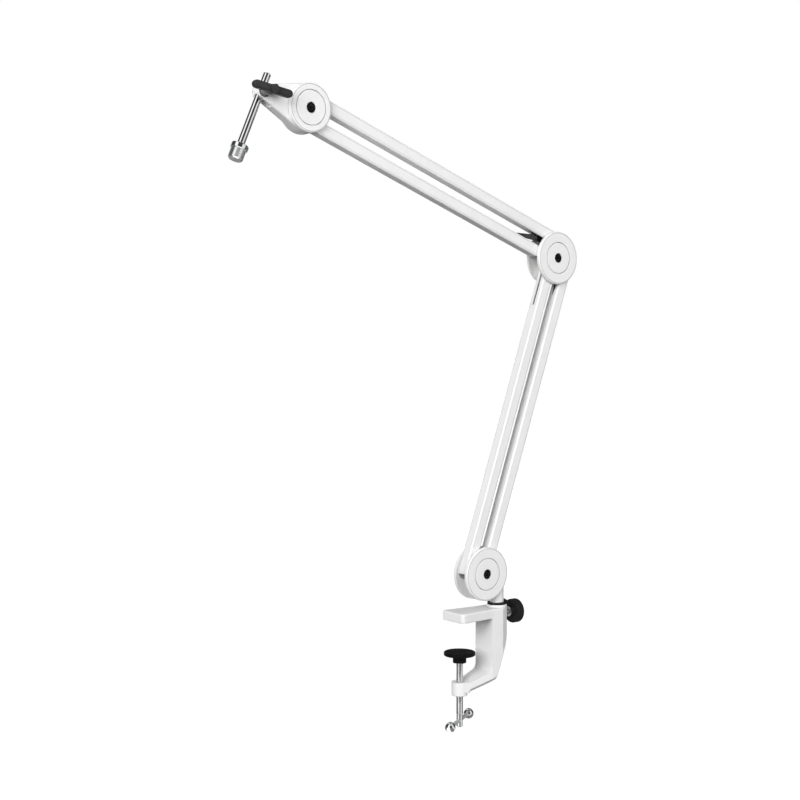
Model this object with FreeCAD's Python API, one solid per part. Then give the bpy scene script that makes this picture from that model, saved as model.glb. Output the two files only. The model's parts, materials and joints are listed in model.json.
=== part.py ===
import FreeCAD, Part
import math
import os

# Microphone boom arm on a desk clamp, in millimetres.
# The origin is where the clamp screw's axis meets the jaw face that lies on the desk.
# +Z is up, +X runs from the desk's edge outwards, and the arm moves in the XZ plane.

Vector = FreeCAD.Vector
right = Vector(1, 0, 0)
back = Vector(0, 1, 0)
up = Vector(0, 0, 1)
quarter_turn = 90
half_turn = 180

# Clearances and shared values
overrun = 3.0
running_clearance = 0.05
thread_clearance = 0.08
seat_clearance = 0.05
body_clearance = 0.4

# Arm layout
post_setback = 19.3
knuckle_setback = 24.5
bolt_height = 51.0
pin_spacing = 21.0
lower_length = 386.5
upper_length = 376.1
lower_lean = 19.76
upper_rise = 20.68
upper_rise_low = -20.0
upper_rise_high = 45.0

# Arm bars
bar_width = 13.7
bar_depth = 13.6
bar_wall = 1.5
bar_corner = 2.4
pin_inset = 4.15
end_margin = 5.0
end_round = 9.0
end_round_inner = 3.6
pivot_radius = 2.5

# Mouths of the outer bars at the elbow and the fork of the lower inner bar
mouth_reach = 48.5
mouth_square = 28.5
mouth_half_width = 4.0
fork_slot_width = 2.8
fork_slot_length = 61.5
fork_window = 9.0

# Spring link of the upper arm
link_thickness = 2.0
link_eye_radius = 5.0
link_length = 66.0
link_tip_width = 2.4
link_tip_round = 0.5
link_angle = 15.3
link_slot_depth = 4.0

# Tongue of the upper inner bar
tube_start = 28.5
tongue_thickness = 2.0
tongue_eye_radius = 6.0
tongue_plug_length = 24.0
tongue_pin_radius = 1.5
tongue_pin_inset = 6.0
spacer_radius = 4.4
spacer_play = 0.1

# Balance springs inside the inner bars
spring_radius = 4.4
spring_wire = 1.4
spring_end_thickness = 2.0
spring_hook_thickness = 2.2
spring_pin_radius = 2.0
spring_eye_wall = 1.6
spring_hook_length = 9.0
spring_inset_low = 72.0
spring_inset_high = 92.0

# Joint discs
side_gap = 0.6
disc_radius = 30.8
head_disc_radius = 25.7
disc_thickness = 4.2
rear_disc_thickness = 3.6
disc_rim_round = 1.6
cap_recess_radius = 18.7
cap_groove = 0.9
cap_thickness = 2.4
cap_edge_round = 0.4
cap_hole_margin = 0.5

# Joint bolts, nuts, pins and washers
bolt_head_radius = 5.3
bolt_head_height = 1.9
bolt_socket_across = 5.0
bolt_socket_depth = 1.3
bolt_tail = 1.0
nut_across = 8.0
nut_height = 4.0
pin_seat = 1.4
pin_head_radius = 4.0
pin_head_height = 1.2
washer_radius = 4.4
washer_thickness = 0.5

# Swivel base
base_cheek_thickness = 5.6
neck_radius = 7.9
neck_top = 44.0
web_inner_reach = 13.4
web_low = 24.0
web_high = 47.0
web_round = 4.0
post_radius = 6.0
post_seat = 12.0
bush_wall = 2.0
bush_flange_radius = 11.0
bush_flange_thickness = 2.5
bush_length = 40.0
lug_width = 6.4
lug_reach = 12.6
lug_height = 3.6
lug_tip_height = 1.2
lug_turn = 35.0

# Clamp frame
jaw_thickness = 10.5
jaw_overhang = 11.3
jaw_tip_width = 38.0
jaw_tip_round = 4.0
throat_depth = 37.0
throat_height = 61.0
throat_round = 8.0
throat_top_round = 3.0
spine_width = 30.0
shoulder_setback = 16.0
post_boss_wall = 3.6
post_boss_rise = 2.5
post_boss_drop = 12.0
waist_setback = 15.8
spine_waist_drop = 56.0
heel_setback = 9.5
heel_drop = 71.2
heel_chamfer = 4.0
screw_boss_radius = 9.1
screw_boss_top = 70.1
screw_boss_height = 15.2
arm_bottom_drop = 82.0
heel_round = 6.0
waist_round = 10.0
frame_edge_round = 1.4
boss_edge_round = 0.6

# Clamp screw, pad and tommy bar
screw_radius = 4.0
screw_tip_radius = 3.3
pad_gap = 35.5
pad_radius = 18.0
pad_thickness = 4.5
pad_edge_round = 1.3
pad_collar_radius = 7.7
pad_collar_height = 8.0
pad_floor = 3.6
screw_tip_play = 0.2
screw_thread_end = 107.0
screw_foot_radius = 3.6
screw_foot_end = 121.8
screw_foot_chamfer = 1.0
tommy_drop = 114.5
tommy_turn = 31.5
tommy_radius = 2.2
tommy_span = 66.0
tommy_ball_radius = 6.0
tommy_ball_seat = 3.5
tommy_ball_play = 0.15

# Thumb screw on the post boss
thumb_height = 2.1
thumb_reach = 22.2
thumb_knob_thickness = 8.8
thumb_knob_radius = 13.9
thumb_flute_count = 24
thumb_flute_radius = 1.3
thumb_flute_depth = 0.6
thumb_edge_chamfer = 0.7
thumb_collar_radius = 6.0
thumb_collar_length = 5.0
thumb_collar_seat = 2.4
thumb_stud_radius = 3.0
thumb_stud_seat = 5.0
thumb_tip_gap = 0.4

# Head bracket
nose_reach = 55.6
nose_rise = 12.5
nose_radius = 6.9
pocket_clearance = 0.9
fork_gap = 9.6
fork_depth = 13.4
bracket_edge_round = 2.4

# Swivel barrel, rod and adapter
barrel_radius = 6.4
barrel_play = 0.15
trunnion_radius = 3.6
rod_radius = 4.0
rod_lean = 23.7
rod_above = 20.6
rod_end_chamfer = 0.7
adapter_drop = 60.3
adapter_flange_radius = 9.1
adapter_flange_height = 5.6
adapter_flange_chamfer = 0.6
adapter_thread_radius = 7.94
adapter_thread_length = 11.0
adapter_thread_chamfer = 0.8
adapter_rod_seat = 12.0

# Clamp lever
lever_length = 46.5
lever_height = 8.2
lever_depth = 8.0
lever_turn = 9.4
lever_standoff = 10.8
lever_edge_round = 2.4
lever_hub_radius = 4.9
lever_boss_radius = 4.4
lever_boss_height = 2.4
lever_stud_radius = 2.2
lever_stud_seat = 6.0
lever_washer_radius = 6.4
lever_washer_thickness = 1.0
lever_play = 0.15


def sine(angle):
    return math.sin(math.radians(angle))


def cosine(angle):
    return math.cos(math.radians(angle))


# Places worked out from the layout
half_gap = bar_depth / 2 + side_gap
front_face = -half_gap - disc_thickness
cap_floor = front_face + cap_thickness
rear_face = half_gap + rear_disc_thickness
base_rear_face = half_gap + base_cheek_thickness
post_offset = throat_depth + post_setback
spine_shoulder = throat_depth + shoulder_setback
spine_waist_reach = throat_depth + waist_setback
heel_reach = throat_depth + heel_setback
thumb_knob_start = post_offset + thumb_reach
base_x = post_offset - knuckle_setback
base_z = bolt_height
base_pin_x = base_x - pin_spacing
elbow_x = base_pin_x + lower_length * sine(lower_lean)
elbow_z = base_z + lower_length * cosine(lower_lean)
elbow_side_x = elbow_x + pin_spacing
elbow_top_z = elbow_z + pin_spacing
head_x = elbow_x - upper_length * cosine(upper_rise)
head_low_z = elbow_z + upper_length * sine(upper_rise)
head_z = head_low_z + pin_spacing / 2
head_top_z = head_low_z + pin_spacing
nose_x = head_x - nose_reach * cosine(nose_rise)
nose_z = head_z + nose_reach * sine(nose_rise)
bar_inner_depth = bar_depth - 2 * bar_wall
bar_outer_reach = bar_width - pin_inset
mid_offset = bar_width / 2 - pin_inset
pivot_hole = pivot_radius + running_clearance
bush_radius = post_radius + running_clearance + bush_wall
boss_radius = bush_radius + post_boss_wall
boss_top = jaw_thickness + post_boss_rise
flange_top = boss_top + bush_flange_thickness


def pin_y(x, z, radius, y_start, y_end):
    return Part.makeCylinder(radius, y_end - y_start, Vector(x, y_start, z), back)


def pin_z(x, y, radius, z_start, z_end):
    return Part.makeCylinder(radius, z_end - z_start, Vector(x, y, z_start), up)


def pin_x(y, z, radius, x_start, x_end):
    return Part.makeCylinder(radius, x_end - x_start, Vector(x_start, y, z), right)


def ring_y(x, z, radius, hole, y_start, y_end):
    bore = pin_y(x, z, hole, y_start - overrun, y_end + overrun)
    return pin_y(x, z, radius, y_start, y_end).cut(bore)


def rounded_face(points, radii):
    # closed outline whose corners are rounded by the radius given for each point
    corners = []
    count = len(points)
    for index in range(count):
        here = points[index]
        to_last = (points[index - 1] - here).normalize()
        to_next = (points[(index + 1) % count] - here).normalize()
        if radii[index] == 0:
            corners.append((here, here, here))
            continue
        half_angle = to_last.getAngle(to_next) / 2
        middle = (to_last + to_next).normalize()
        centre = here + middle * (radii[index] / math.sin(half_angle))
        reach = radii[index] / math.tan(half_angle)
        corners.append((here + to_last * reach, centre - middle * radii[index], here + to_next * reach))
    edges = []
    for index in range(count):
        start, crest, end = corners[index]
        if radii[index] > 0:
            edges.append(Part.Arc(start, crest, end).toShape())
        following = corners[(index + 1) % count][0]
        edges.append(Part.LineSegment(end, following).toShape())
    return Part.Face(Part.Wire(edges))


def side_prism(pairs, radii, y_start, y_end):
    # outline in the XZ plane carried along Y
    points = [Vector(x, y_start, z) for x, z in pairs]
    return rounded_face(points, radii).extrude(back * (y_end - y_start))


def plan_prism(pairs, radii, z_start, z_end):
    # outline in the XY plane carried along Z
    points = [Vector(x, y, z_start) for x, y in pairs]
    return rounded_face(points, radii).extrude(up * (z_end - z_start))


def hexagon_y(x, z, across, y_start, y_end):
    corner_radius = across / math.sqrt(3)
    turns = [index * math.pi / 3 for index in range(6)]
    pairs = [(x + corner_radius * math.cos(t), z + corner_radius * math.sin(t)) for t in turns]
    return side_prism(pairs, [0] * len(pairs), y_start, y_end)


def straight_edges(shape, direction):
    # straight edges of a shape that run along a direction
    found = []
    for edge in shape.Edges:
        if edge.Curve.TypeId == "Part::GeomLine" and abs(edge.Curve.Direction.dot(direction)) > cosine(1):
            found.append(edge)
    return found


def round_edges(shape, axis_value, axis_point, axis):
    # circular edges that lie in the plane through a point across an axis
    found = []
    for edge in shape.Edges:
        flat = abs(edge.BoundBox.Center.dot(axis) - axis_value) < running_clearance
        centred = (edge.BoundBox.Center - axis_point).cross(axis).Length < running_clearance
        if edge.Curve.TypeId == "Part::GeomCircle" and flat and centred:
            found.append(edge)
    return found


def touching_points(centre, radius, point, turn):
    # where the straight line from a point touches a circle, on the side given by turn
    across = point[0] - centre[0]
    along = point[1] - centre[1]
    distance = math.hypot(across, along)
    angle = math.atan2(along, across) + turn * math.acos(radius / distance)
    return (centre[0] + radius * math.cos(angle), centre[1] + radius * math.sin(angle))


def lower_place(x, z):
    # puts a bar drawn along X from its base pin onto the lower arm
    return FreeCAD.Placement(Vector(x, 0, z), FreeCAD.Rotation(back, lower_lean - quarter_turn))


def upper_place(x, z):
    # puts a bar drawn along X from its elbow pin onto the upper arm
    return FreeCAD.Placement(Vector(x, 0, z), FreeCAD.Rotation(back, half_turn + upper_rise))


def placed(shape, placement):
    copy = shape.copy()
    copy.Placement = placement
    return copy


def bar_tube(start, end, outer_side, start_is_round):
    # hollow square bar along X: outer_side tells whether its far wall is at +Z or at -Z
    middle = outer_side * mid_offset
    low = middle - bar_width / 2
    high = middle + bar_width / 2
    outside = Part.makeBox(end - start, bar_depth, bar_width, Vector(start, -bar_depth / 2, low))
    outside = outside.makeFillet(bar_corner, straight_edges(outside, right))
    low_round = end_round_inner if outer_side > 0 else end_round
    high_round = end_round if outer_side > 0 else end_round_inner
    start_rounds = [low_round, high_round] if start_is_round else [0, 0]
    pairs = [(start, low), (end, low), (end, high), (start, high)]
    radii = [start_rounds[0], low_round, high_round, start_rounds[1]]
    ends = side_prism(pairs, radii, -bar_depth, bar_depth)
    length = end - start + 2 * overrun
    corner = Vector(start - overrun, -bar_inner_depth / 2, low + bar_wall)
    inside = Part.makeBox(length, bar_inner_depth, bar_width - 2 * bar_wall, corner)
    inside = inside.makeFillet(bar_corner - bar_wall, straight_edges(inside, right))
    return outside.common(ends).cut(inside)


def pivot_cut(s):
    return pin_y(s, 0, pivot_hole, -bar_depth, bar_depth)


def mouth_cut(origin, sense):
    # opening at one end of the wall that faces the other bar, drawn out to a point
    end = origin - sense * (end_margin + overrun)
    square = origin + sense * mouth_square
    pairs = [(end, -mouth_half_width), (square, -mouth_half_width), (origin + sense * mouth_reach, 0)]
    pairs += [(square, mouth_half_width), (end, mouth_half_width)]
    return plan_prism(pairs, [0] * len(pairs), pin_inset - 2 * bar_wall, pin_inset + overrun)


def link_slot():
    # room for the spring link in the wall of the upper inner bar, over the link's whole travel
    width = link_thickness + 2 * body_clearance
    farthest = pin_spacing * sine(upper_rise_high) + link_length * cosine(link_angle) + link_tip_width
    corner = Vector(tube_start - overrun, -width / 2, -pin_inset - overrun)
    return Part.makeBox(farthest - tube_start + overrun, width, overrun + link_slot_depth, corner)


def rear_pin(s, radius):
    # pin through the rear wall of a bar that ends against its front wall
    return pin_y(s, mid_offset, radius, -bar_inner_depth / 2, bar_depth / 2)


def rear_pin_hole(s, radius):
    return pin_y(s, mid_offset, radius + seat_clearance, 0, bar_depth)


def balance_spring(start, end):
    # closed coil with a flat hook on the anchor pin at each end
    first = start + spring_hook_length
    last = end - spring_hook_length
    coil = pin_x(0, mid_offset, spring_radius, first, last)
    hollow_start = first + spring_end_thickness
    hollow_end = last - spring_end_thickness
    coil = coil.cut(pin_x(0, mid_offset, spring_radius - spring_wire, hollow_start, hollow_end))
    hole = spring_pin_radius + running_clearance
    eye_radius = hole + spring_eye_wall
    half_hook = spring_hook_thickness / 2
    for anchor, coil_end in ((start, first), (end, last)):
        eye = pin_y(anchor, mid_offset, eye_radius, -half_hook, half_hook)
        corner = Vector(min(anchor, coil_end), -half_hook, mid_offset - half_hook)
        hook = Part.makeBox(spring_hook_length, spring_hook_thickness, spring_hook_thickness, corner)
        coil = coil.fuse(eye.fuse(hook)).cut(pin_y(anchor, mid_offset, hole, -bar_depth, bar_depth))
    return coil.removeSplitter()


def lower_outer_bar():
    tube = bar_tube(-end_margin, lower_length + end_margin, -1, True)
    tube = tube.cut(pivot_cut(0)).cut(pivot_cut(lower_length))
    return placed(tube.cut(mouth_cut(lower_length, -1)), lower_place(base_x, base_z))


def lower_inner_bar():
    tube = bar_tube(-end_margin, lower_length + end_margin, 1, True)
    tube = tube.cut(pivot_cut(0)).cut(pivot_cut(lower_length))
    slot_start = lower_length - fork_slot_length
    slot_size = fork_slot_length + end_margin + overrun
    corner = Vector(slot_start, -fork_slot_width / 2, mid_offset)
    tube = tube.cut(Part.makeBox(slot_size, fork_slot_width, bar_width, corner))
    corner = Vector(lower_length - fork_window, -bar_inner_depth / 2, mid_offset - bar_width)
    window_size = fork_window + end_margin + overrun
    tube = tube.cut(Part.makeBox(window_size, bar_inner_depth, bar_width, corner))
    for s in (spring_inset_low, lower_length - spring_inset_high):
        tube = tube.cut(rear_pin_hole(s, spring_pin_radius))
    return placed(tube, lower_place(base_pin_x, base_z))


def lower_spring():
    spring = balance_spring(spring_inset_low, lower_length - spring_inset_high)
    return placed(spring, lower_place(base_pin_x, base_z))


def lower_spring_pins():
    pins = [rear_pin(s, spring_pin_radius) for s in (spring_inset_low, lower_length - spring_inset_high)]
    return Part.makeCompound([placed(pin, lower_place(base_pin_x, base_z)) for pin in pins])


def tongue_pin_places():
    first = tube_start + tongue_pin_inset
    return (first, tube_start + tongue_plug_length - tongue_pin_inset)


def upper_inner_bar():
    tube = bar_tube(tube_start, upper_length + end_margin, 1, False)
    tube = tube.cut(pivot_cut(upper_length)).cut(link_slot())
    for s in (spring_inset_high, upper_length - spring_inset_low):
        tube = tube.cut(rear_pin_hole(s, spring_pin_radius))
    for s in tongue_pin_places():
        tube = tube.cut(rear_pin_hole(s, tongue_pin_radius))
    return placed(tube, upper_place(elbow_x, elbow_z))


def upper_tongue():
    # plate on the elbow bolt, one piece with the plug that fills the bar's end
    half_plate = tongue_thickness / 2
    half_plug = bar_width / 2 - bar_wall - seat_clearance
    low = mid_offset - half_plug
    high = mid_offset + half_plug
    pairs = [(0, -tongue_eye_radius), (tube_start, low), (tube_start, high), (0, tongue_eye_radius)]
    plate = side_prism(pairs, [0] * len(pairs), -half_plate, half_plate)
    plate = plate.fuse(pin_y(0, 0, tongue_eye_radius, -half_plate, half_plate))
    depth = bar_inner_depth - 2 * seat_clearance
    plug = Part.makeBox(tongue_plug_length, depth, high - low, Vector(tube_start, -depth / 2, low))
    plug = plug.makeFillet(bar_corner - bar_wall, straight_edges(plug, right)).cut(link_slot())
    tongue = plate.fuse(plug).cut(pivot_cut(0))
    for s in tongue_pin_places():
        tongue = tongue.cut(pin_y(s, mid_offset, tongue_pin_radius + seat_clearance, -bar_depth, bar_depth))
    return placed(tongue.removeSplitter(), upper_place(elbow_x, elbow_z))


def tongue_pins():
    pins = [rear_pin(s, tongue_pin_radius) for s in tongue_pin_places()]
    return Part.makeCompound([placed(pin, upper_place(elbow_x, elbow_z)) for pin in pins])


def upper_spring():
    spring = balance_spring(spring_inset_high, upper_length - spring_inset_low)
    return placed(spring, upper_place(elbow_x, elbow_z))


def upper_spring_pins():
    pins = [rear_pin(s, spring_pin_radius) for s in (spring_inset_high, upper_length - spring_inset_low)]
    return Part.makeCompound([placed(pin, upper_place(elbow_x, elbow_z)) for pin in pins])


def upper_outer_bar():
    tube = bar_tube(-end_margin, upper_length + end_margin, -1, True)
    tube = tube.cut(pivot_cut(0)).cut(pivot_cut(upper_length))
    return placed(tube.cut(mouth_cut(0, 1)), upper_place(elbow_x, elbow_top_z))


def upper_link():
    # tapered plate from the elbow's upper pin through the outer bar's mouth into the inner bar's slot
    half_plate = link_thickness / 2
    half_tip = link_tip_width / 2
    pairs = [(0, -link_eye_radius), (link_length, -half_tip), (link_length, half_tip), (0, link_eye_radius)]
    plate = side_prism(pairs, [0, link_tip_round, link_tip_round, 0], -half_plate, half_plate)
    plate = plate.fuse(pin_y(0, 0, link_eye_radius, -half_plate, half_plate)).cut(pivot_cut(0))
    turn = FreeCAD.Placement(Vector(), FreeCAD.Rotation(back, -link_angle))
    return placed(plate.removeSplitter(), upper_place(elbow_x, elbow_top_z).multiply(turn))


def front_disc(x, z, radius, pins):
    disc = pin_y(x, z, radius, front_face, -half_gap)
    disc = disc.makeFillet(disc_rim_round, round_edges(disc, front_face, Vector(x, front_face, z), back))
    disc = disc.cut(pin_y(x, z, cap_recess_radius, front_face - overrun, cap_floor))
    disc = disc.cut(pin_y(x, z, pivot_radius + seat_clearance, front_face - overrun, half_gap))
    for pin_x_place, pin_z_place in pins:
        seat = pivot_radius + seat_clearance
        disc = disc.cut(pin_y(pin_x_place, pin_z_place, seat, -half_gap - pin_seat, half_gap))
    return disc


def disc_cap(x, z):
    radius = cap_recess_radius - cap_groove
    cap = pin_y(x, z, radius, front_face, cap_floor)
    cap = cap.makeFillet(cap_edge_round, round_edges(cap, front_face, Vector(x, front_face, z), back))
    return cap.cut(pin_y(x, z, bolt_head_radius + cap_hole_margin, front_face - overrun, cap_floor + overrun))


def joint_bolt(x, z, rear):
    head_front = cap_floor - bolt_head_height
    bolt = pin_y(x, z, bolt_head_radius, head_front, cap_floor)
    bolt = bolt.makeFillet(cap_edge_round, round_edges(bolt, head_front, Vector(x, head_front, z), back))
    bolt = bolt.fuse(pin_y(x, z, pivot_radius, cap_floor, rear + nut_height + bolt_tail))
    socket = hexagon_y(x, z, bolt_socket_across, head_front - overrun, head_front + bolt_socket_depth)
    return bolt.cut(socket)


def joint_nut(x, z, rear):
    nut = hexagon_y(x, z, nut_across, rear, rear + nut_height)
    return nut.cut(pin_y(x, z, pivot_radius + seat_clearance, rear - overrun, rear + nut_height + overrun))


def cross_pin(x, z, rear):
    shaft = pin_y(x, z, pivot_radius, -half_gap - pin_seat, rear)
    return shaft.fuse(pin_y(x, z, pin_head_radius, rear, rear + pin_head_height))


def thrust_washers(places):
    rings = []
    hole = pivot_radius + seat_clearance
    for x, z in places:
        rings.append(ring_y(x, z, washer_radius, hole, -half_gap, -half_gap + washer_thickness))
        rings.append(ring_y(x, z, washer_radius, hole, half_gap - washer_thickness, half_gap))
    return Part.makeCompound(rings)


def drill_rear(shape, places, rear):
    for x, z in places:
        shape = shape.cut(pin_y(x, z, pivot_radius + seat_clearance, 0, rear + overrun))
    return shape


base_pins_at = [(base_pin_x, base_z)]
base_pivots_at = [(base_x, base_z)] + base_pins_at
elbow_pins_at = [(elbow_side_x, elbow_z), (elbow_x, elbow_top_z)]
elbow_pivots_at = [(elbow_x, elbow_z)] + elbow_pins_at
head_pins_at = [(head_x, head_low_z), (head_x, head_top_z)]


def base_knuckle():
    # rear cheek, web and round neck in one casting
    cheek = pin_y(base_x, base_z, disc_radius, half_gap, base_rear_face)
    rim = round_edges(cheek, base_rear_face, Vector(base_x, base_rear_face, base_z), back)
    cheek = cheek.makeFillet(disc_rim_round, rim)
    web_left = base_x + web_inner_reach
    web_right = post_offset + neck_radius
    pairs = [(web_left, web_low), (web_right, web_low), (web_right, neck_top), (web_left, web_high)]
    web = side_prism(pairs, [web_round] * len(pairs), -half_gap, half_gap)
    rim_disc = pin_y(base_x, base_z, disc_radius, -half_gap, half_gap)
    neck = pin_z(post_offset, 0, neck_radius, flange_top + running_clearance, neck_top)
    neck = neck.cut(pin_y(base_x, base_z, disc_radius + body_clearance, front_face, -half_gap))
    casting = cheek.fuse([web.common(rim_disc), neck])
    post_hole = pin_z(post_offset, 0, post_radius + seat_clearance, 0, flange_top + post_seat)
    casting = drill_rear(casting.cut(post_hole), base_pivots_at, base_rear_face)
    return casting.removeSplitter()


def swivel_post():
    return pin_z(post_offset, 0, post_radius, boss_top - bush_length, flange_top + post_seat)


def swivel_bush():
    bush = pin_z(post_offset, 0, bush_flange_radius, boss_top, flange_top)
    bush = bush.fuse(pin_z(post_offset, 0, bush_radius - seat_clearance, boss_top - bush_length, boss_top))
    lug_start = post_offset + neck_radius + body_clearance
    lug_end = post_offset + lug_reach
    pairs = [(lug_start, flange_top), (lug_end, flange_top)]
    pairs += [(lug_end, flange_top + lug_tip_height), (lug_start, flange_top + lug_height)]
    lug = side_prism(pairs, [0] * len(pairs), -lug_width / 2, lug_width / 2)
    lug.rotate(Vector(post_offset, 0, 0), up, -lug_turn)
    bush = bush.fuse(lug)
    bottom = boss_top - bush_length - overrun
    bush = bush.cut(pin_z(post_offset, 0, post_radius + running_clearance, bottom, flange_top))
    stud = thumb_stud_radius + thread_clearance
    return bush.cut(pin_x(0, thumb_height, stud, post_offset, post_offset + boss_radius)).removeSplitter()


def heel_edges(frame):
    # the outer edges of the lower arm and the heel, on both sides
    found = []
    for edge in frame.Edges:
        box = edge.BoundBox
        outer = box.ZMin < -screw_boss_top - running_clearance or box.XMin > throat_depth - running_clearance
        one_side = box.YMin * box.YMax > 0 and min(abs(box.YMin), abs(box.YMax)) > screw_boss_radius
        if outer and one_side and box.ZMax < -spine_waist_drop and box.XLength > running_clearance:
            found.append(edge)
    return found


def clamp_frame():
    # side view of the C crossed with the plans of its jaw, its spine and its lower arm
    tip = -jaw_overhang
    boss_back = post_offset + boss_radius
    pairs = [
        (tip, 0),
        (throat_depth, 0),
        (throat_depth, -throat_height),
        (screw_boss_radius, -screw_boss_top),
        (-screw_boss_radius, -screw_boss_top),
        (-screw_boss_radius, -arm_bottom_drop),
        (screw_boss_radius, -arm_bottom_drop),
        (heel_reach, -heel_drop),
        (spine_waist_reach, -spine_waist_drop),
        (boss_back, -post_boss_drop),
        (boss_back, jaw_thickness),
        (tip, jaw_thickness),
    ]
    radii = [0, throat_top_round, throat_round, 0, 0, 0, 0, heel_round, waist_round, waist_round, 0, 0]
    half_tip = jaw_tip_width / 2
    half_spine = spine_width / 2
    profile = side_prism(pairs, radii, -half_tip - overrun, half_tip + overrun)
    near = touching_points((post_offset, 0), boss_radius, (spine_shoulder, -half_spine), 1)
    spine_plan = [
        (throat_depth, -half_spine),
        (spine_shoulder, -half_spine),
        near,
        (near[0], -near[1]),
        (spine_shoulder, half_spine),
        (throat_depth, half_spine),
    ]
    jaw_plan = spine_plan + [(tip, half_tip), (tip, -half_tip)]
    jaw_radii = [0] * len(spine_plan) + [jaw_tip_round] * 2
    middle = -throat_height / 2
    jaw = plan_prism(jaw_plan, jaw_radii, middle, jaw_thickness)
    jaw = jaw.fuse(pin_z(post_offset, 0, boss_radius, middle, jaw_thickness)).removeSplitter()
    touch = touching_points((0, 0), screw_boss_radius, (throat_depth, -half_spine), -1)
    arm_plan = spine_plan + [(touch[0], -touch[1]), touch]
    floor = -arm_bottom_drop - overrun
    arm = plan_prism(arm_plan, [0] * len(arm_plan), floor, middle)
    arm = arm.fuse(pin_z(post_offset, 0, boss_radius, floor, middle))
    arm = arm.fuse(pin_z(0, 0, screw_boss_radius, floor, middle)).removeSplitter()
    frame = profile.common(jaw).fuse(profile.common(arm)).removeSplitter()
    frame = frame.makeChamfer(heel_chamfer, heel_edges(frame))
    rim = [edge for edge in frame.Edges if edge.BoundBox.ZMin > jaw_thickness - running_clearance]
    frame = frame.makeFillet(frame_edge_round, rim)
    boss_bottom = -screw_boss_top - screw_boss_height
    screw_boss = pin_z(0, 0, screw_boss_radius, boss_bottom, -screw_boss_top)
    post_boss = pin_z(post_offset, 0, boss_radius, 0, boss_top)
    post_rim = round_edges(post_boss, boss_top, Vector(post_offset, 0, boss_top), up)
    frame = frame.fuse([screw_boss, post_boss.makeFillet(boss_edge_round, post_rim)]).removeSplitter()
    frame = frame.cut(pin_z(0, 0, screw_radius + thread_clearance, boss_bottom - overrun, middle))
    frame = frame.cut(pin_z(post_offset, 0, bush_radius, boss_top - bush_length, boss_top + overrun))
    stud = thumb_stud_radius + thread_clearance
    return frame.cut(pin_x(0, thumb_height, stud, post_offset, boss_back + overrun))


def collar_bottom():
    return -pad_gap - pad_thickness - pad_collar_height


def pressure_pad():
    plate = pin_z(0, 0, pad_radius, -pad_gap - pad_thickness, -pad_gap)
    plate = plate.makeFillet(pad_edge_round, [edge for edge in plate.Edges if len(edge.Vertexes) == 1])
    collar = pin_z(0, 0, pad_collar_radius, collar_bottom(), -pad_gap - pad_thickness)
    socket_radius = screw_tip_radius + running_clearance
    return plate.fuse(collar).cut(pin_z(0, 0, socket_radius, collar_bottom() - overrun, -pad_gap - pad_floor))


def clamp_screw():
    shoulder = collar_bottom() - screw_tip_play
    screw = pin_z(0, 0, screw_radius, -screw_thread_end, shoulder)
    screw = screw.fuse(pin_z(0, 0, screw_tip_radius, shoulder, -pad_gap - pad_floor - screw_tip_play))
    foot = pin_z(0, 0, screw_foot_radius, -screw_foot_end, -screw_thread_end)
    rim = round_edges(foot, -screw_foot_end, Vector(0, 0, -screw_foot_end), up)
    screw = screw.fuse(foot.makeChamfer(screw_foot_chamfer, rim))
    hole = pin_x(0, 0, tommy_radius + running_clearance, -tommy_span, tommy_span)
    return screw.cut(placed(hole, tommy_place())).removeSplitter()


def tommy_place():
    return FreeCAD.Placement(Vector(0, 0, -tommy_drop), FreeCAD.Rotation(up, tommy_turn))


def tommy_reach():
    return tommy_span / 2 - tommy_ball_radius + tommy_ball_seat


def tommy_bar():
    return placed(pin_x(0, 0, tommy_radius, -tommy_reach(), tommy_reach()), tommy_place())


def tommy_balls():
    balls = []
    for side in (-1, 1):
        ball = Part.makeSphere(tommy_ball_radius, Vector(side * tommy_span / 2, 0, 0), right)
        seat = side * (tommy_reach() + tommy_ball_play)
        ball = ball.cut(pin_x(0, 0, tommy_radius + tommy_ball_play, min(0, seat), max(0, seat)))
        balls.append(placed(ball, tommy_place()))
    return Part.makeCompound(balls)


def thumb_knob():
    end = thumb_knob_start + thumb_knob_thickness
    knob = pin_x(0, thumb_height, thumb_knob_radius, thumb_knob_start, end)
    knob = knob.makeChamfer(thumb_edge_chamfer, [edge for edge in knob.Edges if len(edge.Vertexes) == 1])
    cut_centre = thumb_knob_radius - thumb_flute_depth + thumb_flute_radius
    flutes = []
    for index in range(thumb_flute_count):
        turn = 2 * math.pi * index / thumb_flute_count
        y = cut_centre * math.cos(turn)
        z = thumb_height + cut_centre * math.sin(turn)
        flutes.append(pin_x(y, z, thumb_flute_radius, thumb_knob_start - overrun, end + overrun))
    knob = knob.cut(flutes)
    collar = thumb_collar_radius + seat_clearance
    knob = knob.cut(pin_x(0, thumb_height, collar, 0, thumb_knob_start + thumb_collar_seat))
    return knob.cut(pin_x(0, thumb_height, thumb_stud_radius + seat_clearance, 0, thumb_stud_end()))


def thumb_stud_end():
    return thumb_knob_start + thumb_stud_seat


def thumb_collar():
    start = thumb_knob_start - thumb_collar_length
    collar = pin_x(0, thumb_height, thumb_collar_radius, start, thumb_knob_start + thumb_collar_seat)
    return collar.cut(pin_x(0, thumb_height, thumb_stud_radius + seat_clearance, 0, thumb_stud_end()))


def thumb_stud():
    start = post_offset + post_radius + thumb_tip_gap
    return pin_x(0, thumb_height, thumb_stud_radius, start, thumb_stud_end())


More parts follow.
